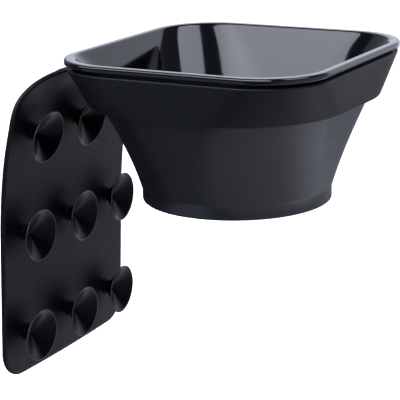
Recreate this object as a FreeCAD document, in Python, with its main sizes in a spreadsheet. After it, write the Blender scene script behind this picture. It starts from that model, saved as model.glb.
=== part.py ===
# Hair color bowl with a hanging suction pad.
#
# A tapered tinting bowl sits in a soft collar. A flexible sheet leaves one side of the
# collar, bends over and hangs down as a pad that carries nine suction cups in three rows.
# Lifting the pad to the horizontal turns the cups face down for a worktop edge.
#
# Frame: millimetres, +Z up, origin at the centre of the bowl's foot. The pad hangs on the
# -X side of the bowl and is as wide as Y runs.

import FreeCAD, Part

import math
import os
import re

import Sketcher

DIMENSIONS = {
    # bowl
    "foot_radius": 45.0,
    "foot_height": 6.9,
    "foot_flat": 1.5,
    "floor_height": 3.2,
    "wall": 2.2,
    "belly_z": 27.4,
    "belly_half_x": 51.2,
    "belly_half_y": 53.2,
    "belly_corner": 48.5,
    "waist_z": 48.0,
    "waist_half_x": 57.2,
    "waist_half_y": 60.7,
    "waist_corner": 44.5,
    "neck_z": 68.7,
    "neck_half_x": 61.3,
    "neck_half_y": 65.5,
    "neck_corner": 27.4,
    "rim_half_x": 64.6,
    "rim_half_y": 68.9,
    "rim_corner": 30.6,
    "rim_height": 2.7,
    "rim_round": 1.1,
    "mouth_flare": 0.5,
    # collar
    "collar_low_z": 48.0,
    "collar_low_half_x": 61.7,
    "collar_low_half_y": 65.8,
    "collar_low_corner": 48.0,
    "collar_top_z": 66.9,
    "collar_top_half_x": 64.0,
    "collar_top_half_y": 68.2,
    "collar_top_corner": 30.2,
    "collar_wall": 2.6,
    # flexible sheet, followed from the collar outwards and down
    "sheet_thick": 2.5,
    "sheet_root_x": 64.0,
    "sheet_root_z": 61.8,
    "root_overlap": 1.4,
    "bend_radius": 23.2,
    "lean_top": 12.4,
    "lean_low": 2.4,
    "shoulder_run": 12.4,
    "hinge_slit": 1.0,
    "strip_half_width": 38.5,
    # pad outline
    "pad_half_width": 57.0,
    "pad_shoulder_z": 38.5,
    "pad_shoulder_radius": 22.0,
    "pad_bottom_z": -92.2,
    "pad_bottom_radius": 14.5,
    "outline_margin": 20.0,
    # suction cups
    "column_pitch": 39.2,
    "row_pitch": 51.5,
    "cup_radius": 12.8,
    "cup_standoff": 9.5,
    "cup_depth": 7.5,
    "cup_rim_width": 0.9,
    "cup_rim_height": 0.5,
    "cup_shell": 1.3,
    "stem_radius": 2.5,
    "stem_length": 1.2,
    "button_radius": 4.5,
    "button_edge": 0.7,
    "button_height": 1.8,
}

doc = FreeCAD.newDocument("hair_color_bowl")
sheet = doc.addObject("Spreadsheet::Sheet", "Sizes")
for row, (alias, number) in enumerate(DIMENSIONS.items(), start=1):
    sheet.set("A%d" % row, alias)
    sheet.set("B%d" % row, str(number))
    sheet.setAlias("B%d" % row, alias)
doc.recompute()


# ---- formulas of the sheet's dimensions ---------------------------------------------


def cell_or_word(match):
    word = match.group(0)
    return "Sizes." + word if word in DIMENSIONS else word


def bound(formula):
    """The formula with each dimension's name turned into its cell of the sheet."""
    return re.sub(r"[a-z]+(_[a-z]+)*", cell_or_word, formula)


def number_of(formula):
    """The formula's value, as the document works it out."""
    return float(sheet.evalExpression(bound(formula)))


# ---- sketches -----------------------------------------------------------------------


def new_body(name):
    made = doc.addObject("PartDesign::Body", name)
    made.Label = name
    return made


def origin_feature(body, role):
    for feature in body.Origin.OriginFeatures:
        if feature.Role == role:
            return feature
    raise ValueError("the body has no " + role)


def new_sketch(body, name, role, height="0"):
    """A sketch on one of the body's origin planes, lifted off it by a formula."""
    sketch = body.newObject("Sketcher::SketchObject", body.Name + "_" + name)
    sketch.AttachmentSupport = [(origin_feature(body, role), "")]
    sketch.MapMode = "FlatFace"
    sketch.setExpression("AttachmentOffset.Base.z", bound(height))
    return sketch


def constrain(sketch, kind, *elements):
    sketch.addConstraint(Sketcher.Constraint(kind, *elements))


def dimension(sketch, kind, elements, formula):
    """Adds one dimension to the sketch and binds it to its formula."""
    index = sketch.addConstraint(Sketcher.Constraint(kind, *elements, number_of(formula)))
    sketch.setExpression("Constraints[%d]" % index, bound(formula))


def arc_between(start, stop, radius, turns_left):
    """The shorter arc from start to stop; its centre is on the left of a left turn."""
    chord = stop - start
    side = FreeCAD.Vector(-chord.y, chord.x, 0).normalize()
    reach = math.sqrt(radius ** 2 - (chord.Length / 2) ** 2)
    centre = start + chord * 0.5 + side * (reach if turns_left else -reach)
    first, last = (start, stop) if turns_left else (stop, start)
    angles = [math.atan2(p.y - centre.y, p.x - centre.x) for p in (first, last)]
    if angles[1] < angles[0]:
        angles[1] += 2 * math.pi
    circle = Part.Circle(centre, FreeCAD.Vector(0, 0, 1), radius)
    return Part.ArcOfCircle(circle, *angles)


def draw_outline(sketch, corners):
    """A closed outline. A corner is (x, y) or (x, y, radius, "left" or "right"): the last
    two make the edge that leaves the corner an arc that turns to that side."""
    places = [FreeCAD.Vector(number_of(c[0]), number_of(c[1]), 0) for c in corners]
    edges = []
    for index, corner in enumerate(corners):
        start, stop = places[index], places[(index + 1) % len(places)]
        if len(corner) == 2:
            edges.append((sketch.addGeometry(Part.LineSegment(start, stop)), 1, 2))
            continue
        turns_left = corner[3] == "left"
        arc = sketch.addGeometry(arc_between(start, stop, number_of(corner[2]), turns_left))
        edges.append((arc, 1, 2) if turns_left else (arc, 2, 1))
    for index, corner in enumerate(corners):
        edge, first, last = edges[index]
        following = edges[(index + 1) % len(edges)]
        constrain(sketch, "Coincident", edge, last, following[0], following[1])
        dimension(sketch, "DistanceX", (-1, 1, edge, first), corner[0])
        dimension(sketch, "DistanceY", (-1, 1, edge, first), corner[1])
        if len(corner) == 4:
            dimension(sketch, "Radius", (edge,), corner[2])


def rounded_square(half_x, half_y, corner):
    """The corners of a rounded square about the origin, for draw_outline."""
    straight_x = "(%s - (%s))" % (half_x, corner)
    straight_y = "(%s - (%s))" % (half_y, corner)
    return [
        ("-" + straight_x, "-(%s)" % half_y),
        (straight_x, "-(%s)" % half_y, corner, "left"),
        ("(%s)" % half_x, "-" + straight_y),
        ("(%s)" % half_x, straight_y, corner, "left"),
        (straight_x, "(%s)" % half_y),
        ("-" + straight_x, "(%s)" % half_y, corner, "left"),
        ("-(%s)" % half_x, straight_y),
        ("-(%s)" % half_x, "-" + straight_y, corner, "left"),
    ]


# ---- features -----------------------------------------------------------------------


def loft(body, name, kind, sections, ruled=False):
    """A loft through rounded squares, each (height, half x, half y, corner radius)."""
    sketches = []
    for number, (height, *sizes) in enumerate(sections):
        sketch = new_sketch(body, "%s_section_%d" % (name, number), "XY_Plane", height)
        draw_outline(sketch, rounded_square(*sizes))
        sketches.append(sketch)
    doc.recompute()
    made = body.newObject("PartDesign::" + kind, body.Name + "_" + name)
    made.Profile = sketches[0]
    made.Sections = sketches[1:]
    made.Ruled = ruled
    doc.recompute()
    return made


def pad(body, sketch, length, both_ways=False):
    made = body.newObject("PartDesign::Pad", sketch.Name + "_pad")
    made.Profile = sketch
    made.setExpression("Length", bound(length))
    made.SideType = "Symmetric" if both_ways else "One side"
    doc.recompute()
    return made


def pocket(body, sketch, length):
    """Cuts the sketch away, the same distance to both sides of its plane."""
    before = body.Shape.Volume
    made = body.newObject("PartDesign::Pocket", sketch.Name + "_pocket")
    made.Profile = sketch
    made.setExpression("Length", bound(length))
    made.SideType = "Symmetric"
    doc.recompute()
    if body.Shape.Volume > before - 1e-3:
        raise ValueError(made.Name + " cuts nothing")
    return made


def level_edges(shape, height, beyond):
    """Names of the edges that lie flat at a height and outside a distance from the axis."""
    names = []
    for index, edge in enumerate(shape.Edges, start=1):
        box = edge.BoundBox
        middle = edge.valueAt((edge.FirstParameter + edge.LastParameter) / 2)
        flat = abs(box.ZMin - height) < 0.01 and abs(box.ZMax - height) < 0.01
        if flat and math.hypot(middle.x, middle.y) > beyond:
            names.append("Edge%d" % index)
    return names


# ---- bowl ---------------------------------------------------------------------------


def make_bowl():
    """Round foot, wall that grows from round to a rounded square, and a thick rim."""
    body = new_body("color_bowl")
    foot = new_sketch(body, "foot", "XY_Plane")
    foot.addGeometry(Part.Circle(FreeCAD.Vector(), FreeCAD.Vector(0, 0, 1), 1.0))
    constrain(foot, "Coincident", 0, 3, -1, 1)
    dimension(foot, "Radius", (0,), "foot_radius")
    pad(body, foot, "foot_height")

    loft(body, "wall", "AdditiveLoft", [
        ("foot_height", "foot_radius", "foot_radius", "foot_radius - foot_flat"),
        ("belly_z", "belly_half_x", "belly_half_y", "belly_corner"),
        ("waist_z", "waist_half_x", "waist_half_y", "waist_corner"),
        ("neck_z", "neck_half_x", "neck_half_y", "neck_corner"),
    ], ruled=True)
    rim = new_sketch(body, "rim", "XY_Plane", "neck_z")
    draw_outline(rim, rounded_square("rim_half_x", "rim_half_y", "rim_corner"))
    square_rim = pad(body, rim, "rim_height")

    rim_top = number_of("neck_z + rim_height")
    names = level_edges(body.Shape, rim_top, number_of("neck_half_x"))
    rounding = body.newObject("PartDesign::Fillet", "color_bowl_rim_rounding")
    rounding.Base = (square_rim, names)
    rounding.setExpression("Radius", bound("rim_round"))
    doc.recompute()

    inner = "%s - wall"
    flared = "%s - wall + mouth_flare"
    loft(body, "cavity", "SubtractiveLoft", [
        ("floor_height", inner % "foot_radius", inner % "foot_radius",
         "foot_radius - foot_flat - wall"),
        ("belly_z", inner % "belly_half_x", inner % "belly_half_y", inner % "belly_corner"),
        ("waist_z", inner % "waist_half_x", inner % "waist_half_y", inner % "waist_corner"),
        ("neck_z + rim_height", flared % "neck_half_x", flared % "neck_half_y",
         inner % "neck_corner"),
    ], ruled=True)
    return body


# ---- flexible sheet -----------------------------------------------------------------

# Going along the sheet from the collar: a bend about a centre under the root, a straight
# shoulder, a gentle curve between the top and the middle row of cups, and a straight run.
BEND_TURN = "(90 - lean_top)"
BEND_X = "(0 - sheet_root_x)"
BEND_Z = "(sheet_root_z - bend_radius)"
CURVE_RADIUS = "(row_pitch / ((lean_top - lean_low) * pi / 180))"


def on_bend(share, offset):
    """The point at a share of the bend's turn, an offset above the sheet's under side."""
    turn = "(%s * %s * 1deg)" % (BEND_TURN, share)
    across = "%s - (bend_radius + %s) * sin(%s)" % (BEND_X, offset, turn)
    height = "%s + (bend_radius + %s) * cos(%s)" % (BEND_Z, offset, turn)
    return across, height


def moved(point, along, lean, offset):
    """The point moved down the sheet, and then off its under side, at a lean."""
    shift_x = "- (%s) * sin(%s * 1deg) - (%s) * cos(%s * 1deg)" % (along, lean, offset, lean)
    shift_z = "- (%s) * cos(%s * 1deg) + (%s) * sin(%s * 1deg)" % (along, lean, offset, lean)
    return point[0] + shift_x, point[1] + shift_z


def curve_end(offset):
    """The lower end of the gentle curve, where the middle row of cups sits."""
    top = moved(on_bend("1", "0"), "shoulder_run", "lean_top", "0")
    fall_x = " + %s * (cos(lean_top * 1deg) - cos(lean_low * 1deg))" % CURVE_RADIUS
    fall_z = " - %s * (sin(lean_top * 1deg) - sin(lean_low * 1deg))" % CURVE_RADIUS
    return moved((top[0] + fall_x, top[1] + fall_z), "0", "lean_low", offset)


def beside_hinge(share, offset, towards_pad):
    """A point of the slit at a hinge line, half the slit's width from the line."""
    point = on_bend(share, offset)
    turn = "(%s * %s * 1deg)" % (BEND_TURN, share)
    sign = "-" if towards_pad else "+"
    shift_x = " %s hinge_slit / 2 * cos(%s)" % (sign, turn)
    shift_z = " %s hinge_slit / 2 * sin(%s)" % (sign, turn)
    return point[0] + shift_x, point[1] + shift_z


# The hinge lines are the shares of the bend's turn at which it folds.
FIRST_HINGE = "0.25"
SECOND_HINGE = "0.75"


def cut_to_outline(body):
    """Trims a stretch of sheet to the pad's outline: a narrow strip, rounded shoulders,
    straight sides and small bottom corners."""
    sketch = new_sketch(body, "outline", "YZ_Plane")
    far = "(pad_half_width + outline_margin)"
    low = "(pad_bottom_z - outline_margin)"
    high = "(sheet_root_z + outline_margin)"
    draw_outline(sketch, [("-" + far, low), (far, low), (far, high), ("-" + far, high)])

    shoulder_y = "(pad_half_width - pad_shoulder_radius)"
    reach = "(strip_half_width - %s)" % shoulder_y
    shoulder_top = "(pad_shoulder_z + sqrt(pad_shoulder_radius ^ 2 - %s ^ 2))" % reach
    inner_low = "(pad_half_width - pad_bottom_radius)"
    bottom_side = "(pad_bottom_z + pad_bottom_radius)"
    top = "(sheet_root_z + outline_margin / 2)"
    draw_outline(sketch, [
        ("-" + inner_low, "pad_bottom_z"),
        (inner_low, "pad_bottom_z", "pad_bottom_radius", "left"),
        ("pad_half_width", bottom_side),
        ("pad_half_width", "pad_shoulder_z", "pad_shoulder_radius", "left"),
        ("strip_half_width", shoulder_top),
        ("strip_half_width", top),
        ("-strip_half_width", top),
        ("-strip_half_width", shoulder_top, "pad_shoulder_radius", "left"),
        ("-pad_half_width", "pad_shoulder_z"),
        ("-pad_half_width", bottom_side, "pad_bottom_radius", "left"),
    ])
    pocket(body, sketch, "sheet_root_x * 6")


def make_strip():
    """The middle of the bend, between the two hinge lines."""
    body = new_body("bend_strip")
    profile = new_sketch(body, "profile", "XZ_Plane")
    draw_outline(profile, [
        beside_hinge(FIRST_HINGE, "0", True) + ("bend_radius", "left"),
        beside_hinge(SECOND_HINGE, "0", False),
        beside_hinge(SECOND_HINGE, "sheet_thick", False)
        + ("bend_radius + sheet_thick", "right"),
        beside_hinge(FIRST_HINGE, "sheet_thick", True),
    ])
    pad(body, profile, "pad_half_width * 2", both_ways=True)
    cut_to_outline(body)
    return body


def make_pad():
    """The hanging pad, from the second hinge line down, with a hole for each cup's stem."""
    body = new_body("suction_pad")
    profile = new_sketch(body, "profile", "XZ_Plane")
    under, back = "0", "sheet_thick"
    bend_end = on_bend("1", "0")
    low_point = curve_end(under)
    run = "((%s - pad_bottom_z) / cos(lean_low * 1deg) + sheet_thick)" % low_point[1]
    draw_outline(profile, [
        beside_hinge(SECOND_HINGE, under, True) + ("bend_radius", "left"),
        on_bend("1", under),
        moved(bend_end, "shoulder_run", "lean_top", under) + (CURVE_RADIUS, "left"),
        low_point,
        moved(low_point, run, "lean_low", "0"),
        moved(low_point, run, "lean_low", back),
        curve_end(back) + (CURVE_RADIUS + " + sheet_thick", "right"),
        moved(bend_end, "shoulder_run", "lean_top", back),
        on_bend("1", back) + ("bend_radius + sheet_thick", "right"),
        beside_hinge(SECOND_HINGE, back, True),
    ])
    pad(body, profile, "pad_half_width * 2", both_ways=True)
    cut_to_outline(body)
    for name, (place, lean) in CUP_ROWS.items():
        cut_stem_holes(body, name, place, lean)
    return body


def cut_stem_holes(body, row_name, place, lean):
    sketch = new_sketch(body, row_name + "_row", "YZ_Plane", place[0])
    sketch.setExpression("AttachmentOffset.Base.y", bound(place[1]))
    sketch.setExpression("AttachmentOffset.Rotation.Axis.x", "1")
    sketch.setExpression("AttachmentOffset.Rotation.Axis.z", "0")
    sketch.setExpression("AttachmentOffset.Rotation.Angle", bound(lean))
    for index, column in enumerate(CUP_COLUMNS.values()):
        middle = FreeCAD.Vector(number_of(column), 0, 0)
        sketch.addGeometry(Part.Circle(middle, FreeCAD.Vector(0, 0, 1), 1.0))
        dimension(sketch, "DistanceX", (-1, 1, index, 3), column)
        dimension(sketch, "DistanceY", (-1, 1, index, 3), "0")
        dimension(sketch, "Radius", (index,), "stem_radius")
    pocket(body, sketch, "sheet_thick * 4")


# ---- collar -------------------------------------------------------------------------


def make_collar():
    """A tapered band round the bowl's neck, with the root of the flexible sheet."""
    body = new_body("collar")
    loft(body, "band", "AdditiveLoft", [
        ("collar_low_z", "collar_low_half_x", "collar_low_half_y", "collar_low_corner"),
        ("collar_top_z", "collar_top_half_x", "collar_top_half_y", "collar_top_corner"),
    ], ruled=True)
    root = new_sketch(body, "root", "XZ_Plane")
    inside = "(%s + root_overlap)" % BEND_X
    upper = "sheet_root_z + sheet_thick"
    draw_outline(root, [
        (inside, "sheet_root_z"),
        (inside, upper),
        (BEND_X, upper, "bend_radius + sheet_thick", "left"),
        beside_hinge(FIRST_HINGE, "sheet_thick", False),
        beside_hinge(FIRST_HINGE, "0", False) + ("bend_radius", "right"),
        (BEND_X, "sheet_root_z"),
    ])
    pad(body, root, "strip_half_width * 2", both_ways=True)
    inner = "%s - collar_wall"
    loft(body, "opening", "SubtractiveLoft", [
        ("collar_low_z", inner % "collar_low_half_x", inner % "collar_low_half_y",
         inner % "collar_low_corner"),
        ("collar_top_z", inner % "collar_top_half_x", inner % "collar_top_half_y",
         inner % "collar_top_corner"),
    ], ruled=True)
    return body


# ---- suction cups -------------------------------------------------------------------

BEND_FOOT = moved(on_bend("1", "0"), "shoulder_run", "lean_top", "0")
CUP_ROWS = {
    "top": (BEND_FOOT, "lean_top"),
    "middle": (curve_end("0"), "lean_low"),
    "bottom": (moved(curve_end("0"), "row_pitch", "lean_low", "0"), "lean_low"),
}
CUP_COLUMNS = {"left": "0 - column_pitch", "centre": "0", "right": "column_pitch"}


def make_cup(name, place, lean, column):
    """A thin cone on a stem, held by a button behind the pad. Its own axis is +X."""
    body = new_body(name)
    profile = new_sketch(body, "profile", "XZ_Plane")
    back = "(0 - sheet_thick)"
    draw_outline(profile, [
        ("cup_standoff - cup_depth", "0"),
        ("cup_standoff", "cup_radius - cup_rim_width"),
        ("cup_standoff", "cup_radius"),
        ("cup_standoff - cup_rim_height", "cup_radius"),
        ("stem_length", "stem_radius + cup_shell"),
        ("stem_length / 2", "stem_radius"),
        (back, "stem_radius"),
        (back, "button_radius"),
        (back + " - button_edge", "button_radius"),
        (back + " - button_height", "stem_radius"),
        (back + " - button_height", "0"),
    ])
    doc.recompute()
    turned = body.newObject("PartDesign::Revolution", name + "_turned")
    turned.Profile = profile
    turned.ReferenceAxis = (profile, ["H_Axis"])
    turned.Angle = 360
    body.setExpression("Placement.Base.x", bound(place[0]))
    body.setExpression("Placement.Base.y", bound(column))
    body.setExpression("Placement.Base.z", bound(place[1]))
    body.setExpression("Placement.Rotation.Axis.y", "1")
    body.setExpression("Placement.Rotation.Axis.z", "0")
    body.setExpression("Placement.Rotation.Angle", bound(lean))
    doc.recompute()
    return body


# ---- assembly and files -------------------------------------------------------------

parts = [make_bowl(), make_collar(), make_strip(), make_pad()]
for row_name, (row_place, row_lean) in CUP_ROWS.items():
    for column_name, column_place in CUP_COLUMNS.items():
        cup_name = "suction_cup_%s_%s" % (row_name, column_name)
        parts.append(make_cup(cup_name, row_place, row_lean, column_place))
doc.recompute()

for thing in doc.Objects:
    if "Invalid" in thing.State or "Error" in thing.State:
        raise ValueError("%s failed: %s" % (thing.Name, thing.State))
for part in parts:
    shape = part.Shape
    if shape.isNull() or not shape.isValid() or len(shape.Solids) != 1:
        raise ValueError(part.Label + " is not one valid solid")

os.makedirs("parts", exist_ok=True)
for part in parts:
    part.Shape.exportStep("parts/%s.step" % part.Label)
    print("%-28s %9.1f mm3" % (part.Label, part.Shape.Volume))
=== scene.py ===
import math
from functools import partial

import bmesh
import bpy
from mathutils import Matrix, Vector


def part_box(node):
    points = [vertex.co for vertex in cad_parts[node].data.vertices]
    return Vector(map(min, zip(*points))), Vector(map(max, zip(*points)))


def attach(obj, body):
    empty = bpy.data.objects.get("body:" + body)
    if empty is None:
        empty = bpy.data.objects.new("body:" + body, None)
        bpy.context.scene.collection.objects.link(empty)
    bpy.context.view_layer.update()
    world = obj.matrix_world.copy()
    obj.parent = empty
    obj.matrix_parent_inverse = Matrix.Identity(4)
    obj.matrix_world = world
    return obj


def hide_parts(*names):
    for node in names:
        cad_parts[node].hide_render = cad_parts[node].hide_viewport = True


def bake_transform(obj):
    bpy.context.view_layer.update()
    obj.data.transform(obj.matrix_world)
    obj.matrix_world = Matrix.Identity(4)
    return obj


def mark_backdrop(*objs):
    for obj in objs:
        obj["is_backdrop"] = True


# Looks of the hair color bowl: a glossy tinting bowl in a soft collar, whose flexible sheet
# bends over and hangs beside it with nine suction cups. Lengths are millimetres up to the
# moment a mesh is made; the pad is on the -X side of the bowl.

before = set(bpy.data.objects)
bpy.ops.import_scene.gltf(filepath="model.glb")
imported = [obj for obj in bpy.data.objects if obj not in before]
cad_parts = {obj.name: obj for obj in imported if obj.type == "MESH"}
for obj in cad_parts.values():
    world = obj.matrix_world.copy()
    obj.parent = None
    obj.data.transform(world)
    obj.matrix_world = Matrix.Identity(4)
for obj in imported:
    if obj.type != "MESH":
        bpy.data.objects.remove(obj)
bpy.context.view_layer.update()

METRES = 0.001


def box_of(node):
    """A CAD node's lowest and highest corner, in millimetres."""
    low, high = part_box(node)
    return low / METRES, high / METRES


_, bowl_high = box_of("color_bowl")
collar_low, collar_high = box_of("collar")
pad_low, pad_high = box_of("suction_pad")

# ---- sizes ---------------------------------------------------------------------------

# Sections of the bowl's outer wall: height, half x, half y, corner radius.
FOOT_HEIGHT = 6.9
FOOT_RADIUS = 45.0
FOOT_ROUND = 0.9
RIM_HEIGHT = 2.7
RIM_CORNER = 30.6
RIM_ROUND_LOW = 0.55
RIM_ROUND_HIGH = 1.0
NECK_FILLET = 0.9
NECK_Z = bowl_high.z - RIM_HEIGHT
WALL_SECTIONS = [
    (FOOT_HEIGHT, FOOT_RADIUS, FOOT_RADIUS, 43.5),
    (27.4, 51.2, 53.2, 48.5),
    (48.0, 57.2, 60.7, 44.5),
    (NECK_Z, 61.3, 65.5, 27.4),
]
# The bowl's inner wall: WALL inside the outer one, but FLARE_WALL at the height from which
# it flares, and MOUTH_FLARE wider at the mouth.
WALL = 2.2
FLOOR_Z = 3.2
FLOOR_FILLET = 6.0
FLARE_Z = 55.0
FLARE_WALL = 3.6
FLARE_CORNER = 38.0
MOUTH_FLARE = 1.4
MOUTH_CORNER = 28.0
MOUTH_ROUND = 0.75

# Sections of the collar's outer face, and its wall.
COLLAR_SECTIONS = [
    (collar_low.z, 61.7, collar_high.y - 2.4, 48.0),
    (collar_high.z, 64.0, collar_high.y, 30.2),
]
COLLAR_WALL = 2.6
COLLAR_ROUND = 0.75

# The flexible sheet, from the collar outwards and down. Its root and its bend are placed by
# its middle layer. It leans by LEAN_TOP behind the top row of cups and by LEAN_LOW below.
SHEET_THICK = 2.5
ROOT_X = -64.0
ROOT_Z = 61.8 + SHEET_THICK / 2
ROOT_OVERLAP = 1.4
ROOT_FILLET = 1.6
BEND_RADIUS = 23.2 + SHEET_THICK / 2
LEAN_TOP = math.radians(12.4)
LEAN_LOW = math.radians(2.4)
STRAIGHT_RUN = 12.4
STRIP_HALF_WIDTH = 38.5
SHOULDER_Z = 38.5
SHOULDER_RADIUS = 22.0
BOTTOM_RADIUS = 14.5
PAD_HALF_WIDTH = pad_high.y
PAD_BOTTOM_Z = pad_low.z
BOW_DEPTH = 2.6

# The suction cups: sizes of one, the pitch of the rows, and the lean of each row.
CUP_RADIUS = 12.8
CUP_STANDOFF = 9.5
CUP_DEPTH = 7.5
STEM_RADIUS = 4.7
ROW_PITCH = 51.5
CUP_ROWS = {"top": LEAN_TOP, "middle": LEAN_LOW, "bottom": LEAN_LOW}
CUP_COLUMNS = ["left", "centre", "right"]


# ---- meshes --------------------------------------------------------------------------


def mesh_piece(name, points, faces, sharp_degrees=50.0):
    """A smooth-shaded mesh object from points in millimetres, with its faces turned outwards."""
    mesh = bpy.data.meshes.new(name)
    mesh.from_pydata([Vector(p) * METRES for p in points], [], faces)
    shape = bmesh.new()
    shape.from_mesh(mesh)
    bmesh.ops.recalc_face_normals(shape, faces=shape.faces)
    shape.to_mesh(mesh)
    shape.free()
    mesh.shade_smooth()
    mesh.set_sharp_from_angle(angle=math.radians(sharp_degrees))
    mesh.update()
    made = bpy.data.objects.new(name, mesh)
    bpy.context.scene.collection.objects.link(made)
    return made


def skin(rings, closed_along=False):
    """Faces over rings of equally many points; an open run of rings ends in a fan at the
    middle of its first and last ring."""
    count = len(rings[0])
    points = [p for ring in rings for p in ring]
    faces = []
    pairs = len(rings) if closed_along else len(rings) - 1
    for lower in range(pairs):
        upper = (lower + 1) % len(rings)
        for j in range(count):
            k = (j + 1) % count
            faces.append((lower * count + j, lower * count + k,
                          upper * count + k, upper * count + j))
    if not closed_along:
        for ring_index in (0, len(rings) - 1):
            points.append(sum((Vector(p) for p in rings[ring_index]), Vector()) / count)
            middle, first = len(points) - 1, ring_index * count
            for j in range(count):
                faces.append((first + j, first + (j + 1) % count, middle))
    return points, faces


ARC_STEPS = 26
SIDE_STEPS = 14


def rounded_square(z, half_x, half_y, corner):
    """A ring of points round a rounded square, equally many at every size."""
    arcs = []
    for quarter, (sign_x, sign_y) in enumerate([(1, 1), (-1, 1), (-1, -1), (1, -1)]):
        centre = Vector((sign_x * (half_x - corner), sign_y * (half_y - corner), z))
        arc = []
        for step in range(ARC_STEPS + 1):
            angle = (quarter + step / ARC_STEPS) * math.pi / 2
            arc.append(centre + corner * Vector((math.cos(angle), math.sin(angle), 0)))
        arcs.append(arc)
    ring = []
    for arc, following in zip(arcs, arcs[1:] + arcs[:1]):
        ring += arc
        for step in range(1, SIDE_STEPS):
            ring.append(arc[-1].lerp(following[0], step / SIDE_STEPS))
    return ring


def inset(section, amount):
    """The section's sizes with its outline moved inwards."""
    return [size - amount for size in section]


def between(first, second, share):
    """The sizes that are this share of the way from the first section's to the second's."""
    return [a + (b - a) * share for a, b in zip(first, second)]


def through(sections, height):
    """Half x, half y and corner at a height of a smooth wall through every section."""
    sizes = [0.0, 0.0, 0.0]
    for z, *own in sections:
        weight = 1.0
        for other, *_ in sections:
            if other != z:
                weight *= (height - other) / (z - other)
        sizes = [size + weight * part for size, part in zip(sizes, own)]
    return sizes


def spread(start, stop, steps):
    """Evenly spaced values from start to stop, with both."""
    return [start + (stop - start) * k / steps for k in range(steps + 1)]


def wall_rings(sizes_at, heights, amount=0.0):
    """A ring at each height, that amount inside the sizes there."""
    return [rounded_square(z, *inset(sizes_at(z), amount)) for z in heights]


def edge_rings(sizes_at, flat_z, rise, inwards, steps, amount=0.0):
    """Rings round a quarter circle, from a wall to the flat that meets it at flat_z. The wall
    ends a rise above the flat, and the flat starts that far inwards from the wall."""
    rings = []
    for turn in spread(0, math.pi / 2, steps):
        z = flat_z + rise * (1 - math.sin(turn))
        across = inwards * (1 - math.cos(turn))
        rings.append(rounded_square(z, *inset(sizes_at(z), amount + across)))
    return rings


# ---- bowl ----------------------------------------------------------------------------


def cavity_sections():
    """The sections of the bowl's inner wall, from the floor to the mouth."""
    foot, belly, _, neck = [(z, *inset(sizes, WALL)) for z, *sizes in WALL_SECTIONS]
    outer_x, outer_y, _ = through(WALL_SECTIONS, FLARE_Z)
    flare = (FLARE_Z, outer_x - FLARE_WALL, outer_y - FLARE_WALL, FLARE_CORNER)
    mouth = (bowl_high.z, neck[1] + MOUTH_FLARE, neck[2] + MOUTH_FLARE, MOUTH_CORNER)
    return [(FLOOR_Z, *foot[1:]), belly, flare, mouth]


def bowl_rings():
    """Rings from the middle of the foot's underside, up the outside and down the inside.
    Also gives the number of the first ring that belongs to the rim."""
    foot = (FOOT_RADIUS, FOOT_RADIUS, FOOT_RADIUS - 0.2)
    neck = WALL_SECTIONS[-1][1:]
    rim = (bowl_high.x, bowl_high.y, RIM_CORNER)
    cavity = cavity_sections()
    outside, inside = partial(through, WALL_SECTIONS), partial(through, cavity)

    rings = [rounded_square(0, *inset(foot, gap)) for gap in (40.0, 20.0, 4.0, 1.6)]
    rings += edge_rings(lambda z: foot, 0, FOOT_ROUND, FOOT_ROUND, 5)[::-1]
    rings += wall_rings(lambda z: foot, (FOOT_ROUND + 0.4, FOOT_HEIGHT - 0.5))
    rings += wall_rings(outside, spread(FOOT_HEIGHT, FOOT_HEIGHT + 1.2, 3))
    rings += wall_rings(outside, spread(9.5, NECK_Z - 1.6, 28))
    rings += edge_rings(outside, NECK_Z, -NECK_FILLET, -NECK_FILLET, 4)

    rim_start = len(rings) - 1
    rings.append(rounded_square(NECK_Z, *between(neck, inset(rim, RIM_ROUND_LOW), 0.55)))
    rings += edge_rings(lambda z: rim, NECK_Z, RIM_ROUND_LOW, RIM_ROUND_LOW, 4)[::-1]
    rings += edge_rings(lambda z: rim, bowl_high.z, -RIM_ROUND_HIGH, RIM_ROUND_HIGH, 7)
    outer_edge = inset(rim, RIM_ROUND_HIGH)
    inner_edge = inset(cavity[-1][1:], -MOUTH_ROUND)
    for share in (0.25, 0.6):
        rings.append(rounded_square(bowl_high.z, *between(outer_edge, inner_edge, share)))

    rings += edge_rings(inside, bowl_high.z, -MOUTH_ROUND, -MOUTH_ROUND, 7)[::-1]
    rings += wall_rings(inside, spread(bowl_high.z - MOUTH_ROUND - 0.8,
                                       FLOOR_Z + FLOOR_FILLET + 1, 34))
    rings += edge_rings(inside, FLOOR_Z, FLOOR_FILLET, FLOOR_FILLET, 8)
    for gap in (10.0, 20.0, 32.0):
        rings.append(rounded_square(FLOOR_Z, *inset(cavity[0][1:], gap)))
    return rings, rim_start


def make_bowl(outside, inside):
    """The bowl, with one material below the rim and the other on the rim and inside."""
    rings, rim_start = bowl_rings()
    made = mesh_piece("tint_bowl", *skin(rings))
    made.data.materials.append(outside)
    made.data.materials.append(inside)
    count = len(rings[0])
    for polygon in made.data.polygons:
        lowest = min(polygon.vertices) // count
        polygon.material_index = 1 if lowest >= rim_start else 0
    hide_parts("color_bowl")
    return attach(made, "bowl")


# ---- collar --------------------------------------------------------------------------


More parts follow.
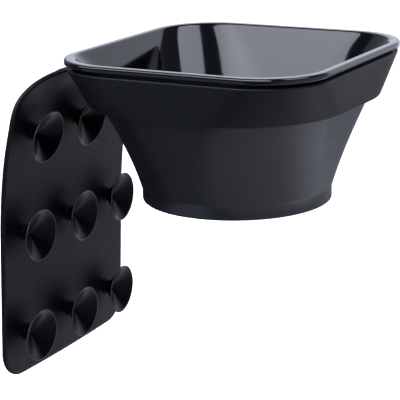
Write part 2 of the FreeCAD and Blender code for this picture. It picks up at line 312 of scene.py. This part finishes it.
def collar_rings():
    """Rings round the collar's section: up its outer face and down its inner one."""
    face = partial(through, COLLAR_SECTIONS)
    low_z, high_z = collar_low.z, collar_high.z
    heights = spread(low_z + COLLAR_ROUND + 0.4, high_z - COLLAR_ROUND - 0.4, 12)
    rings = edge_rings(face, low_z, COLLAR_ROUND, COLLAR_ROUND, 4)[::-1]
    rings += wall_rings(face, heights)
    rings += edge_rings(face, high_z, -COLLAR_ROUND, COLLAR_ROUND, 4)
    rings += edge_rings(face, high_z, -COLLAR_ROUND, -COLLAR_ROUND, 4, COLLAR_WALL)[::-1]
    rings += wall_rings(face, heights[::-1], COLLAR_WALL)
    rings += edge_rings(face, low_z, COLLAR_ROUND, -COLLAR_ROUND, 4, COLLAR_WALL)
    return rings


def make_collar(material):
    """The band that the bowl stands in."""
    made = mesh_piece("collar_band", *skin(collar_rings(), closed_along=True))
    made.data.materials.append(material)
    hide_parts("collar")
    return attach(made, "collar")


# ---- flexible sheet ------------------------------------------------------------------

BEND_LENGTH = BEND_RADIUS * (math.pi / 2 - LEAN_TOP)
CURVE_LENGTH = ROW_PITCH + SHEET_THICK / 2 * (LEAN_TOP - LEAN_LOW)
PAST_THE_END = 400.0
# Stretches of the sheet's middle layer: length, lean at the start, lean at the end. The last
# one is longer than the sheet.
STRETCHES = [
    (BEND_LENGTH, math.pi / 2, LEAN_TOP),
    (STRAIGHT_RUN, LEAN_TOP, LEAN_TOP),
    (CURVE_LENGTH, LEAN_TOP, LEAN_LOW),
    (PAST_THE_END, LEAN_LOW, LEAN_LOW),
]


def along_sheet(distance):
    """(x, z, lean) of the sheet's middle layer, a distance from where it leaves the collar."""
    x, z = ROOT_X, ROOT_Z
    if distance < 0:
        return x - distance, z, math.pi / 2
    for length, start, stop in STRETCHES:
        part = min(distance, length)
        lean = start + (stop - start) * part / length
        if start == stop:
            x -= part * math.sin(start)
            z -= part * math.cos(start)
        else:
            radius = length / (start - stop)
            x += radius * (math.cos(start) - math.cos(lean))
            z += radius * (math.sin(lean) - math.sin(start))
        distance -= part
        if distance <= 0:
            break
    return x, z, lean


def half_width(z):
    """Half the sheet's width where its middle layer is at a height."""
    inner = PAD_HALF_WIDTH - SHOULDER_RADIUS
    if z > SHOULDER_Z:
        rise = min(z - SHOULDER_Z, SHOULDER_RADIUS)
        return max(STRIP_HALF_WIDTH, inner + math.sqrt(SHOULDER_RADIUS ** 2 - rise ** 2))
    fall = max(0.0, PAD_BOTTOM_Z + BOTTOM_RADIUS - z)
    fall = min(fall, BOTTOM_RADIUS)
    return PAD_HALF_WIDTH - BOTTOM_RADIUS + math.sqrt(BOTTOM_RADIUS ** 2 - fall ** 2)


def edge_distance(y, distance, z):
    """How far a point of the sheet is from the nearest edge of its outline."""
    step = 0.25
    slope = (half_width(along_sheet(distance + step)[1])
             - half_width(along_sheet(distance - step)[1])) / (2 * step)
    side = (half_width(z) - abs(y)) / math.hypot(1, slope)
    fall = PAD_BOTTOM_Z + BOTTOM_RADIUS - z
    beside = abs(y) - (PAD_HALF_WIDTH - BOTTOM_RADIUS)
    if fall > 0 and beside > 0:
        return BOTTOM_RADIUS - math.hypot(fall, beside)
    return max(0.0, min(side, z - PAD_BOTTOM_Z))


EDGE_ROUND = SHEET_THICK / 2
# Places of the points near an edge, by their distance from it, and their number between.
EDGE_STEPS = (0.0, 0.06, 0.22, 0.48, 0.82, EDGE_ROUND, 2.2)
ACROSS_STEPS = 44
# The bow starts below the bend, over this run. It is a curve and a slant, in these shares.
BOW_RUN = 30.0
BOW_CURVE, BOW_SLANT = 0.62, 0.38


def bow(y, distance):
    """How far the hanging pad stands back at a place, and how fast that changes with y. It
    bows gently, and most at its far edge."""
    fade = min(max((distance - BEND_LENGTH) / BOW_RUN, 0.0), 1.0)
    depth = fade * fade * (3 - 2 * fade) * BOW_DEPTH
    share = y / PAD_HALF_WIDTH
    shift = depth * (BOW_CURVE * share ** 2 + BOW_SLANT * share)
    slope = depth * (2 * BOW_CURVE * share + BOW_SLANT) / PAD_HALF_WIDTH
    return shift, slope


def columns(width):
    """Places across the sheet, close together near both edges."""
    inner = width - EDGE_STEPS[-1]
    side = [width - step for step in EDGE_STEPS[:-1]]
    return [-y for y in side] + spread(-inner, inner, ACROSS_STEPS) + side[::-1]


def sheet_part(name, distances, material, fillet=0.0):
    """A closed stretch of the sheet with rounded edges, over rows at these distances. A
    fillet thickens it where it grows out of the collar."""
    points, faces, layers = [], [], ([], [])
    for distance in distances:
        x, z, lean = along_sheet(distance)
        back = Vector((-math.cos(lean), 0, math.sin(lean)))
        width = half_width(z)
        rows = ([], [])
        for y in columns(width):
            depth = min(edge_distance(y, distance, z), EDGE_ROUND) / EDGE_ROUND
            half = SHEET_THICK / 2 * math.sqrt(max(0.0, 1 - (1 - depth) ** 2))
            if fillet and distance < fillet:
                rest = 1 - max(distance, 0.0) / fillet
                half += fillet * (1 - math.sqrt(max(0.0, 1 - rest ** 2)))
            middle = Vector((x, y, z)) + back * bow(y, distance)[0]
            if half < 1e-6:
                points.append(middle)
                rows[0].append(len(points) - 1)
                rows[1].append(len(points) - 1)
                continue
            for row, side in zip(rows, (1, -1)):
                points.append(middle + back * half * side)
                row.append(len(points) - 1)
        for layer, row in zip(layers, rows):
            layer.append(row)
    for layer in layers:
        for row, following in zip(layer, layer[1:]):
            for j in range(len(row) - 1):
                add_face(faces, (row[j], following[j], following[j + 1], row[j + 1]))
    for end in (0, -1):
        top, under = layers[0][end], layers[1][end]
        for j in range(len(top) - 1):
            add_face(faces, (top[j], top[j + 1], under[j + 1], under[j]))
    for side in (0, -1):
        edge = [(top[side], under[side]) for top, under in zip(*layers)]
        for (top, under), (next_top, next_under) in zip(edge, edge[1:]):
            add_face(faces, (top, next_top, next_under, under))
    made = mesh_piece(name, points, faces)
    made.data.materials.append(material)
    return made


def add_face(faces, corners):
    """Adds a face without its repeated corners, if any area is left."""
    own = [c for i, c in enumerate(corners) if c != corners[i - 1]]
    if len(set(own)) > 2:
        faces.append(tuple(dict.fromkeys(own)))


def make_sheet(material):
    """The sheet in three pieces: two halves of the bend, and the hanging pad, which goes with
    the pad.
    """
    middle = BEND_LENGTH / 2
    root, halfway, end = [
        Vector((x, 0, z)) * METRES
        for x, z, _ in (along_sheet(0), along_sheet(middle), along_sheet(BEND_LENGTH))
    ]
    rows = spread(-ROOT_OVERLAP, middle, 44)
    upper = sheet_part("bend_upper", rows, material, fillet=ROOT_FILLET)
    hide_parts("bend_strip")
    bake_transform(upper)

    lower = sheet_part("bend_lower", spread(middle, BEND_LENGTH, 40), material)
    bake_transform(lower)

    # The pad's rows end at the height where the sheet is cut off, and are close together
    # round the bottom corners.
    straight = BEND_LENGTH + STRAIGHT_RUN + CURVE_LENGTH
    last = straight + (along_sheet(straight)[1] - PAD_BOTTOM_Z) / math.cos(LEAN_LOW)
    corner_steps = (13.0, 11.0, 9.2, 7.6, 6.2, 5.0, 3.9, 3.0)
    rows = spread(BEND_LENGTH, straight, 60)
    rows += spread(straight, last - corner_steps[0], 34)[1:]
    rows += [last - step for step in corner_steps[1:] + EDGE_STEPS[::-1]]
    hanging = sheet_part("hanging_pad", rows, material)
    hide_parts("suction_pad")
    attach(hanging, "pad")


# ---- suction cups --------------------------------------------------------------------

CUP_TURNS = 96
# Which of a cup's materials these faces have. The hollow has the first, a darker silicone that
# is painted shade. The rim's is much lighter, a painted highlight. The back's is darker and
# duller, painted shade.
CUP_RIM_HIGHLIGHT, CUP_BACK_SHADE = 1, 2
# How far below and inside the rim's edge a face still counts as rim, and how far below the
# hollow's apex the back begins.
RIM_BELOW, RIM_INSIDE, APEX_BELOW = 0.6, 0.7, 0.1


def cup_profile():
    """(distance along the axis, radius) from the hollow's apex, round the rim and the
    outside, down the stem to the button behind the pad."""
    apex = CUP_STANDOFF - CUP_DEPTH
    rim = CUP_STANDOFF
    profile = []
    for share in (0.02, 0.05, 0.1, 0.2, 0.35, 0.5, 0.65, 0.8, 0.9, 0.96):
        profile.append((apex + CUP_DEPTH * share, (CUP_RADIUS - 0.55) * share))
    profile += [(rim - 0.1, CUP_RADIUS - 0.5), (rim - 0.02, CUP_RADIUS - 0.35)]
    profile += [(rim, CUP_RADIUS - 0.2), (rim - 0.06, CUP_RADIUS - 0.05)]
    profile += [(rim - 0.2, CUP_RADIUS), (rim - 0.45, CUP_RADIUS - 0.08)]
    # The cone's outside sags a little on its way from the edge to the neck.
    edge, neck = (rim - 0.55, CUP_RADIUS - 0.25), (2.6, 4.3)
    for share in (0.1, 0.25, 0.4, 0.55, 0.7, 0.85, 1.0):
        sag = 0.45 * math.sin(math.pi * share)
        along, across = between(edge, neck, share)
        profile.append((along + sag * 0.6, across - sag))
    # A waist under the cone, the stem through the pad, and the button behind it.
    profile += [(1.8, 3.6), (1.2, 3.25), (0.6, 3.4), (0.2, 3.9), (0.0, STEM_RADIUS - 0.1)]
    behind = -SHEET_THICK
    profile += [(-0.4, STEM_RADIUS), (behind + 0.3, STEM_RADIUS)]
    profile += [(behind - 0.1, STEM_RADIUS - 0.2), (behind - 0.5, STEM_RADIUS - 0.25)]
    for turn in spread(0, math.pi / 2, 5)[1:]:
        profile.append((behind - 0.5 - 1.2 * math.sin(turn), 2.6 + 1.85 * math.cos(turn)))
    profile.append((behind - 1.75, 1.2))
    return profile


def cup_rings(place, axis, across, up):
    """Rings of points round a cup's axis, over its profile."""
    rings = []
    for along, radius in cup_profile():
        ring = []
        for step in range(CUP_TURNS):
            angle = 2 * math.pi * step / CUP_TURNS
            ring.append(place + axis * along
                        + radius * (across * math.cos(angle) + up * math.sin(angle)))
        rings.append(ring)
    return rings


def make_cup(row, column, lean, materials):
    """A cup in its CAD node's place, moved and turned to stand square on the bowed pad."""
    node = "suction_cup_%s_%s" % (row, column)
    low, high = box_of(node)
    rim = Vector((high.x - CUP_RADIUS * math.sin(lean), (low.y + high.y) / 2,
                  low.z + CUP_RADIUS * math.cos(lean)))
    axis = Vector((math.cos(lean), 0, -math.sin(lean)))
    up = Vector((math.sin(lean), 0, math.cos(lean)))
    place = rim - axis * CUP_STANDOFF
    shift, slope = bow(place.y, BEND_LENGTH + STRAIGHT_RUN if row == "top" else PAST_THE_END)
    place -= axis * shift
    across = (Vector((0, 1, 0)) - axis * slope).normalized()
    axis = across.cross(up).normalized()
    rings = cup_rings(place, axis, across, up)
    made = mesh_piece("cup_%s_%s" % (row, column), *skin(rings), sharp_degrees=70)
    for material in materials:
        made.data.materials.append(material)
    for face in made.data.polygons:
        from_pad = face.center / METRES - place
        along = from_pad.dot(axis)
        radius = (from_pad - axis * along).length
        # Faces round the rim's edge get the much lighter silicone, a painted highlight on the
        # edge.
        if along > CUP_STANDOFF - RIM_BELOW and radius > CUP_RADIUS - RIM_INSIDE:
            face.material_index = CUP_RIM_HIGHLIGHT
        # Faces turned towards the pad, and those behind the hollow, get the back's darker,
        # duller silicone: painted shade.
        elif face.normal.dot(axis) < 0 or along < CUP_STANDOFF - CUP_DEPTH - APEX_BELOW:
            face.material_index = CUP_BACK_SHADE
    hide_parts(node)
    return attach(made, "pad")


# ---- materials -----------------------------------------------------------------------


def set_stops(node, stops):
    """Gives a colour ramp node its stops, each a position and a grey or a colour."""
    elements = node.color_ramp.elements
    while len(elements) < len(stops):
        elements.new(0.5)
    for element, (position, colour) in zip(elements, stops):
        element.position = position
        grey = isinstance(colour, float)
        element.color = (colour, colour, colour, 1) if grey else (*colour, 1)


def colour_sockets(sockets):
    """The sockets of a mix node that hold colours."""
    return [socket for socket in sockets if socket.type == "RGBA"]


class Surface:
    """A procedural material built round one Principled shader."""

    def __init__(self, name, **constants):
        self.material = bpy.data.materials.new(name)
        self.material.use_nodes = True
        self.tree = self.material.node_tree
        self.shader = self.tree.nodes["Principled BSDF"]
        for socket, value in constants.items():
            self.shader.inputs[socket.replace("_", " ")].default_value = value
        self.place = self.node("ShaderNodeTexCoord").outputs["Object"]

    def node(self, kind, **settings):
        made = self.tree.nodes.new(kind)
        for key, value in settings.items():
            setattr(made, key, value)
        return made

    def link(self, output, socket):
        self.tree.links.new(output, socket)

    def noise(self, scale, detail):
        """Noise of that many features per metre."""
        made = self.node("ShaderNodeTexNoise")
        made.inputs["Scale"].default_value = scale
        made.inputs["Detail"].default_value = detail
        made.inputs["Roughness"].default_value = 0.55
        self.link(self.place, made.inputs["Vector"])
        return made.outputs["Fac"]

    def specks(self, scale, size, share):
        """Small round specks: 1 in a speck and 0 elsewhere, in a share of the cells."""
        cells = self.node("ShaderNodeTexVoronoi")
        cells.inputs["Scale"].default_value = scale
        self.link(self.place, cells.inputs["Vector"])
        near = self.ramp(cells.outputs["Distance"], [(0.0, 1.0), (size, 0.0)])
        split = self.node("ShaderNodeSeparateColor")
        self.link(cells.outputs["Color"], split.inputs["Color"])
        chosen = self.ramp(split.outputs["Red"], [(share, 1.0), (share + 0.01, 0.0)])
        return self.maths("MULTIPLY", near, chosen)

    def ramp(self, value, stops):
        """A colour ramp of greys or colours over a value."""
        made = self.node("ShaderNodeValToRGB")
        set_stops(made, stops)
        self.link(value, made.inputs["Fac"])
        return made.outputs["Color"]

    def maths(self, operation, first, second):
        """A maths node over two values, each a number or an output."""
        made = self.node("ShaderNodeMath", operation=operation)
        for socket, value in zip(made.inputs, (first, second)):
            if isinstance(value, float):
                socket.default_value = value
            else:
                self.link(value, socket)
        return made.outputs["Value"]

    def mix(self, share, first, second):
        """From an output's colours to one colour, by the share in another output."""
        made = self.node("ShaderNodeMix", data_type="RGBA")
        self.link(share, made.inputs["Factor"])
        first_socket, second_socket = colour_sockets(made.inputs)
        self.link(first, first_socket)
        second_socket.default_value = (*second, 1)
        return colour_sockets(made.outputs)[0]

    def bump(self, height, strength, distance, after=None):
        """Bump of a depth in metres, on top of another bump if one is given."""
        made = self.node("ShaderNodeBump")
        made.inputs["Strength"].default_value = strength
        made.inputs["Distance"].default_value = distance
        self.link(height, made.inputs["Height"])
        if after is not None:
            self.link(after, made.inputs["Normal"])
        return made.outputs["Normal"]

    def set(self, socket, output):
        self.link(output, self.shader.inputs[socket])


def gloss_plastic():
    """Polished black plastic: deep gloss, faint waviness and a very fine grain."""
    s = Surface("bowl_gloss", Specular_IOR_Level=0.5)
    dark, light = (0.0008, 0.0011, 0.0016), (0.0014, 0.0018, 0.0026)
    s.set("Base Color", s.ramp(s.noise(22, detail=3), [(0.35, dark), (0.7, light)]))
    s.set("Roughness", s.ramp(s.noise(60, detail=5), [(0.35, 0.07), (0.75, 0.12)]))
    wave = s.noise(45, detail=1)
    fine = s.noise(2600, detail=2)
    s.set("Normal", s.bump(fine, 0.05, 0.00002, s.bump(wave, 0.1, 0.0004)))
    return s.material


def satin_plastic():
    """The same plastic with the duller, grained skin of the bowl's outside."""
    s = Surface("bowl_satin", Specular_IOR_Level=0.5)
    dark, light = (0.0024, 0.0030, 0.0046), (0.0042, 0.0052, 0.0078)
    s.set("Base Color", s.ramp(s.noise(18, detail=4), [(0.3, dark), (0.7, light)]))
    s.set("Roughness", s.ramp(s.noise(90, detail=5), [(0.3, 0.30), (0.75, 0.40)]))
    s.set("Normal", s.bump(s.noise(3200, detail=3), 0.18, 0.00004))
    return s.material


SILICONE_HUE = (0.62, 0.74, 1.1)
DUST = (0.05, 0.05, 0.055)


def silicone(name, specular, roughness, tone, grain_strength):
    """Soft black silicone: satin, very fine grain, faint blotches and a few dust specks. The
    tone is how light its base colour is."""
    s = Surface(name, Specular_IOR_Level=specular, Specular_Tint=(0.86, 0.92, 1.0, 1))
    dark, light = [[level * part for part in SILICONE_HUE] for level in (tone * 0.7, tone)]
    clouds = s.ramp(s.noise(26, detail=5), [(0.3, dark), (0.72, light)])
    dust = s.maths("MULTIPLY", s.specks(520, 0.16, 0.10), 0.3)
    s.set("Base Color", s.mix(dust, clouds, DUST))
    rough = [(0.3, roughness - 0.05), (0.75, roughness + 0.05)]
    s.set("Roughness", s.ramp(s.noise(75, detail=6), rough))
    grain = s.noise(2400, detail=3)
    soft = s.noise(140, detail=2)
    s.set("Normal", s.bump(grain, grain_strength, 0.00004, s.bump(soft, 0.05, 0.0001)))
    return s.material


def floor_paint():
    """White that gives light of its own, so that it is as white as the world behind it."""
    s = Surface("floor_paint", Roughness=0.9, Specular_IOR_Level=0.0,
                Emission_Color=(1, 1, 1, 1), Emission_Strength=1.0)
    s.set("Base Color", s.ramp(s.noise(3, detail=2), [(0.3, 0.90), (0.7, 0.92)]))
    return s.material


# ---- studio --------------------------------------------------------------------------

# The colour of all the light on the object, a slightly blue white.
COOL = (0.94, 0.98, 1.14)


def make_camera():
    """A long lens, a little above the rim, from the front right."""
    azimuth, elevation, roll = [math.radians(turn) for turn in (28.379, 15.059, -1.043)]
    target = Vector((-1.35, -34.97, 6.3))
    distance = 733.55
    back = Vector((math.sin(azimuth) * math.cos(elevation),
                   -math.cos(azimuth) * math.cos(elevation), math.sin(elevation)))
    right = Vector((math.cos(azimuth), math.sin(azimuth), 0))
    up = back.cross(right)
    turned_right = right * math.cos(roll) + up * math.sin(roll)
    turned_up = up * math.cos(roll) - right * math.sin(roll)
    data = bpy.data.cameras.new("camera")
    data.lens = 144.07
    data.sensor_width = 36.0
    data.clip_start, data.clip_end = 0.05, 50.0
    made = bpy.data.objects.new("camera", data)
    bpy.context.scene.collection.objects.link(made)
    place = (target + back * distance) * METRES
    made.matrix_world = Matrix((
        (*[v.x for v in (turned_right, turned_up, back)], place.x),
        (*[v.y for v in (turned_right, turned_up, back)], place.y),
        (*[v.z for v in (turned_right, turned_up, back)], place.z),
        (0, 0, 0, 1),
    ))
    bpy.context.scene.camera = made


PANEL_FALL = 0.9    # metres over which a panel fades


def panel(name, azimuth, distance, radiance, corners, edge_radiance=None):
    """A flat upright panel of light that faces the object. Its corners are directions from
    the object, each an azimuth and an elevation: azimuth 0 is in front, on the -Y side, and
    90 is on the +X side. The distance is in metres and the radiance is against a white of 1.
    With an edge_radiance, the panel fades to that from its brightest point, which is 45
    degrees up. The camera doesn't see the panel."""
    turn = math.radians(azimuth)
    outwards = Vector((math.sin(turn), -math.cos(turn), 0))
    sideways = Vector((math.cos(turn), math.sin(turn), 0))
    points = []
    for corner_azimuth, elevation in corners:
        aside = math.radians(corner_azimuth) - turn
        rise = math.tan(math.radians(elevation)) / math.cos(aside)
        place = outwards + sideways * math.tan(aside) + Vector((0, 0, rise))
        points.append(place * distance / METRES)
    made = mesh_piece(name, points, [tuple(range(len(points)))])
    s = Surface(name + "_light", Base_Color=(0, 0, 0, 1), Specular_IOR_Level=0.0,
                Emission_Color=(*COOL, 1), Emission_Strength=radiance)
    if edge_radiance:
        away = s.node("ShaderNodeVectorMath", operation="DISTANCE")
        s.link(s.place, away.inputs[0])
        away.inputs[1].default_value = (outwards + Vector((0, 0, 1))) * distance
        dim = [part * edge_radiance / radiance for part in COOL]
        s.set("Emission Color", s.ramp(away.outputs["Value"], [(0.0, COOL), (PANEL_FALL, dim)]))
    made.data.materials.append(s.material)
    made.visible_camera = False
    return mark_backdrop(made)


# The room's light by direction: 1 is ROOM_TOWARDS, which is low on the right, and 0 is its
# opposite.
ROOM_TOWARDS = (0.60, 0.20, -0.77)
ROOM_LEVELS = [(0.0, 0.06), (0.45, 0.10), (0.62, 0.13), (0.68, 0.20), (0.76, 0.46),
               (0.88, 0.60), (1.0, 0.72)]


def make_room():
    """White to the camera, and to the object a dim room that is lightest low on the right."""
    world = bpy.data.worlds.new("studio")
    bpy.context.scene.world = world
    world.use_nodes = True
    nodes, links = world.node_tree.nodes, world.node_tree.links
    background = nodes["Background"]
    background.inputs["Strength"].default_value = 1.0
    direction = nodes.new("ShaderNodeTexCoord").outputs["Generated"]
    towards = nodes.new("ShaderNodeVectorMath")
    towards.operation = "DOT_PRODUCT"
    towards.inputs[1].default_value = ROOM_TOWARDS
    links.new(direction, towards.inputs[0])
    shares = nodes.new("ShaderNodeMapRange")
    shares.inputs["From Min"].default_value = -1.0
    links.new(towards.outputs["Value"], shares.inputs["Value"])
    shade = nodes.new("ShaderNodeValToRGB")
    set_stops(shade, [(share, [level * part for part in COOL]) for share, level in ROOM_LEVELS])
    links.new(shares.outputs["Result"], shade.inputs["Fac"])
    path = nodes.new("ShaderNodeLightPath")
    choice = nodes.new("ShaderNodeMix")
    choice.data_type = "RGBA"
    to_object, to_camera = colour_sockets(choice.inputs)
    links.new(path.outputs["Is Camera Ray"], choice.inputs["Factor"])
    links.new(shade.outputs["Color"], to_object)
    to_camera.default_value = (1.15, 1.15, 1.15, 1)
    links.new(colour_sockets(choice.outputs)[0], background.inputs["Color"])


def make_floor():
    """A wide white floor below the pad. It shows to the camera, and does nothing else."""
    half, z = 6000.0, -300.0
    points = [(-half, -half, z), (half, -half, z), (half, half, z), (-half, half, z)]
    floor = mesh_piece("floor", points, [(0, 1, 2, 3)])
    floor.data.materials.append(floor_paint())
    floor.visible_glossy = False
    floor.visible_diffuse = False
    floor.visible_shadow = False


def make_studio():
    """The floor, the room, and panels placed where the photograph's reflections come from."""
    make_floor()
    make_room()
    panel("front_left", -6, 1.0, 6.9, [(-70, 10), (36, 10), (36, 49), (23, 64), (-30, 58),
                                       (-56, 37), (-70, 31)], edge_radiance=4.9)
    panel("right", 88.5, 1.1, 4.5, [(65, 34), (99, 34), (119, 45), (125, 52), (125, 70),
                                    (74, 70)])
    panel("back_left", -120, 1.1, 0.4, [(-150, 5), (-94, 5), (-94, 60), (-150, 60)])
    panel("low_front", -28, 1.0, 0.5, [(-60, -28), (-6, -28), (-6, -5), (-60, -5)])
    panel("low_left", -50, 1.0, 0.55, [(-115, -66), (12, -66), (12, -40), (-115, -40)])
    panel("low_right", 165, 1.0, 1.2, [(112, -50), (220, -50), (220, -5), (195, -5), (186, -24),
                                       (112, -24)])
    panel("backdrop", -173.5, 1.0, 1.25, [(-213, -8), (-130, -8), (-130, 38), (-200, 38),
                                         (-213, 24)])
    bpy.context.scene.view_settings.view_transform = "Standard"


# ---- assembly ------------------------------------------------------------------------

make_camera()
make_studio()
make_bowl(satin_plastic(), gloss_plastic())
sheet_rubber = silicone("sheet_silicone", specular=0.18, roughness=0.48, tone=0.0018,
                        grain_strength=0.22)
# The collar is the sheet's silicone made lighter and a little more specular: painted light on
# the collar.
collar_rubber = silicone("collar_silicone_painted_light", specular=0.23, roughness=0.46, tone=0.0024,
                         grain_strength=0.22)
cup_rubbers = [
    # The hollow's silicone is smoother, as the cups are. It is also darker and less shiny than
    # the sheet's: painted shade in the hollow.
    silicone("cup_hollow_painted_shade", specular=0.10, roughness=0.25, tone=0.0012, grain_strength=0.08),
    # A much lighter, shinier silicone round the cup's rim: a painted highlight on its edge.
    silicone("cup_rim_painted_highlight", specular=0.40, roughness=0.40, tone=0.022, grain_strength=0.08),
    # The same silicone made darker and duller on the cup's back and stem: painted shade.
    silicone("cup_back_painted_shade", specular=0.06, roughness=0.55, tone=0.0012, grain_strength=0.10),
]
make_collar(collar_rubber)
make_sheet(sheet_rubber)
for cup_row, cup_lean in CUP_ROWS.items():
    for cup_column in CUP_COLUMNS:
        make_cup(cup_row, cup_column, cup_lean, cup_rubbers)
